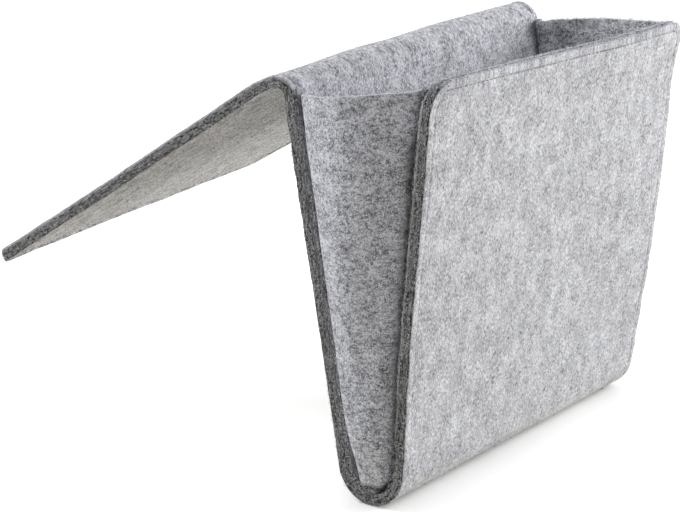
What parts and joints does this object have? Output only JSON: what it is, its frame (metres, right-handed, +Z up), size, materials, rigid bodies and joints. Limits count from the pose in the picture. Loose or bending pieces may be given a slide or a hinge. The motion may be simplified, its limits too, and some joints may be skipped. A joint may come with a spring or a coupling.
{
  "type": "felt bedside caddy",
  "caption": "Hanging felt pocket for the side of a bed: a long flap tucks under the mattress and carries a V-shaped open-topped pocket with bulging side gussets.",
  "frame": {"origin": "middle of the flap's upper face, which the mattress holds down", "axes": "+X across the caddy from its left to its right gusset, +Y from the pocket's front back along the flap, +Z up as the caddy stands on its bottom bend"},
  "size_m": [0.2408, 0.3025, 0.2167],
  "materials": {
    "lining_felt": "pressed felt, heathered light grey, matt and slightly fuzzy",
    "shell_felt": "pressed felt, heathered light grey, matt and slightly fuzzy",
    "gusset_felt": "pressed felt, heathered mid grey, matt and slightly fuzzy",
    "thread": "twisted sewing thread, matt grey"
  },
  "bodies": {
    "flap": {"flap_lining_felt": "lining_felt", "flap_shell_felt": "shell_felt", "flap_top_thread": "thread", "flap_under_thread": "thread", "top_fold_lining_felt": "lining_felt", "top_fold_shell_felt": "shell_felt"},
    "back": {"back_lining_felt": "lining_felt", "back_shell_felt": "shell_felt", "bottom_lining_felt": "lining_felt", "bottom_shell_felt": "shell_felt", "left_back_thread": "thread", "right_back_thread": "thread", "left_gusset": "gusset_felt", "right_gusset": "gusset_felt"},
    "front": {"front_shell_felt": "shell_felt", "front_lining_felt": "lining_felt", "front_outer_thread": "thread", "front_inner_thread": "thread"}
  },
  "joints": [
    {"name": "top_fold", "type": "hinge", "parent": "flap", "child": "back", "pos_m": [0, -0.10524, 0.05339], "axis": [1, 0, 0], "range_deg": [-105, 58], "deforming": ["top_fold_lining_felt", "top_fold_shell_felt"]},
    {"name": "front_fold", "type": "hinge", "parent": "back", "child": "front", "pos_m": [0, -0.16421, -0.12998], "axis": [1, 0, 0], "range_deg": [-15, 4], "deforming": ["bottom_lining_felt", "bottom_shell_felt", "left_gusset", "right_gusset"]}
  ]
}
